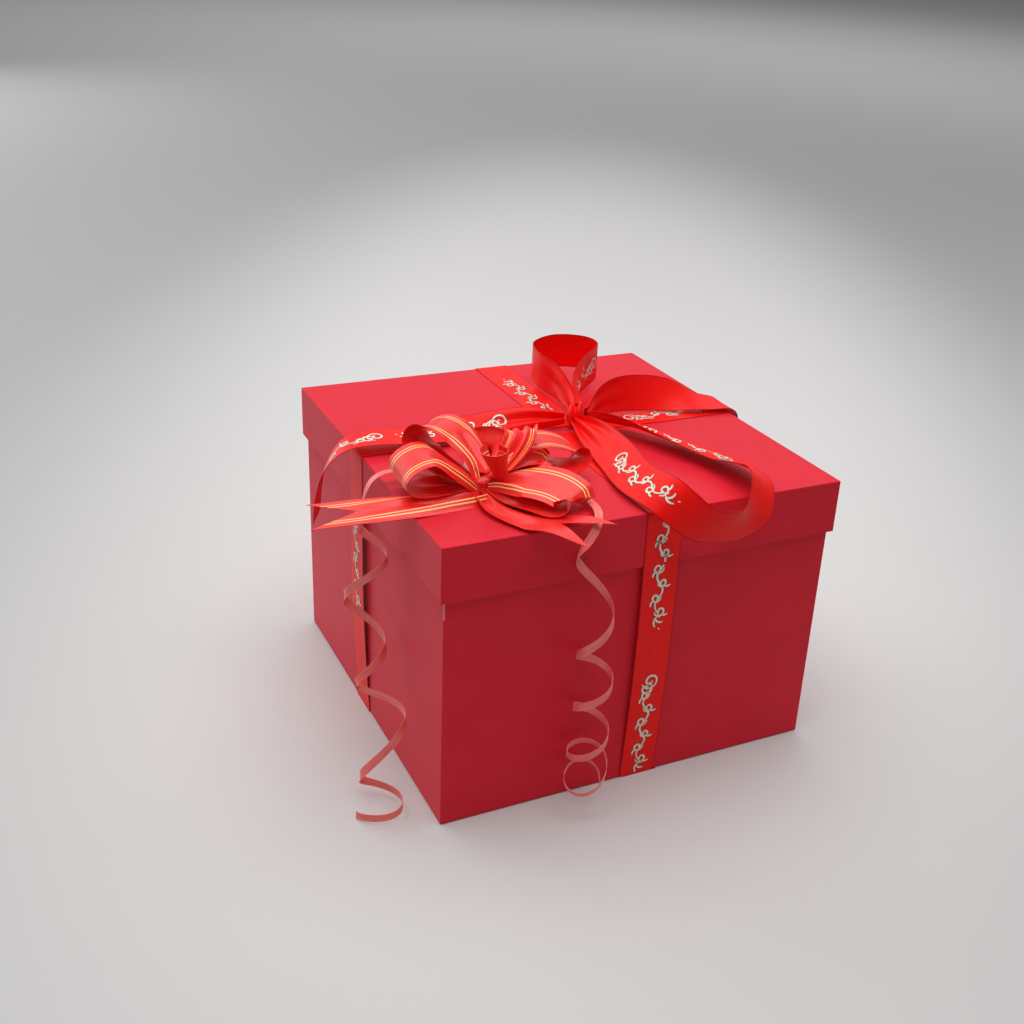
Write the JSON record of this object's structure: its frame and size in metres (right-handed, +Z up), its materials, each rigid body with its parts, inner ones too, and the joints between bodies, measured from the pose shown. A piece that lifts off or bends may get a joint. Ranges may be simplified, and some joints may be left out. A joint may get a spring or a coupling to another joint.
{
  "type": "gift box",
  "caption": "Square rigid paper-covered gift box with a lift-off lid, cross-tied with printed satin ribbon in a bow, with a striped pull bow and hanging curled ribbons.",
  "frame": {"origin": "middle of the underside of the box, on the underside of the ribbon that passes under it", "axes": "+Z up, +X to the right along the front face, +Y towards the back"},
  "size_m": [0.3363, 0.298, 0.2391],
  "materials": {
    "red_paper": "matte",
    "greyboard": "matte",
    "stay_paper": "matte",
    "lining_paper": "matte",
    "satin_ribbon": "satin",
    "pull_bow_ribbon": "satin",
    "adhesive_pad": "matte",
    "curling_ribbon": "satin"
  },
  "bodies": {
    "base": {"base_board": "greyboard", "base_corner_tapes": "stay_paper", "base_wrap": "red_paper", "base_liner": "lining_paper", "ribbon_under_base": "satin_ribbon", "ribbon_base_front": "satin_ribbon", "ribbon_base_back": "satin_ribbon", "ribbon_base_left": "satin_ribbon", "ribbon_base_right": "satin_ribbon"},
    "lid": {"lid_board": "greyboard", "lid_corner_tapes": "stay_paper", "lid_wrap": "red_paper", "lid_liner": "lining_paper", "ribbon_lid_front": "satin_ribbon", "ribbon_lid_back": "satin_ribbon", "ribbon_lid_left": "satin_ribbon", "ribbon_lid_right": "satin_ribbon", "ribbon_knot": "satin_ribbon", "bow_loop_back": "satin_ribbon", "bow_loop_front": "satin_ribbon", "bow_tail_left": "satin_ribbon", "bow_tail_right": "satin_ribbon", "pull_bow_loop_left_front": "pull_bow_ribbon", "pull_bow_loop_left_back": "pull_bow_ribbon", "pull_bow_loop_back": "pull_bow_ribbon", "pull_bow_loop_right_back": "pull_bow_ribbon", "pull_bow_loop_right_inner": "pull_bow_ribbon", "pull_bow_loop_right_front": "pull_bow_ribbon", "pull_bow_loop_centre": "pull_bow_ribbon", "pull_bow_loop_top": "pull_bow_ribbon", "pull_bow_tail_left": "pull_bow_ribbon", "pull_bow_tail_right": "pull_bow_ribbon", "pull_bow_core": "pull_bow_ribbon", "pull_bow_pad": "adhesive_pad", "curl_left_lead": "curling_ribbon", "curl_left_coil": "curling_ribbon", "curl_front_lead": "curling_ribbon", "curl_front_coil": "curling_ribbon"}
  },
  "joints": [
    {"name": "lid_lift", "type": "slide", "parent": "base", "child": "lid", "axis": [0, 0, 1], "range_m": [0, 0.1]}
  ]
}
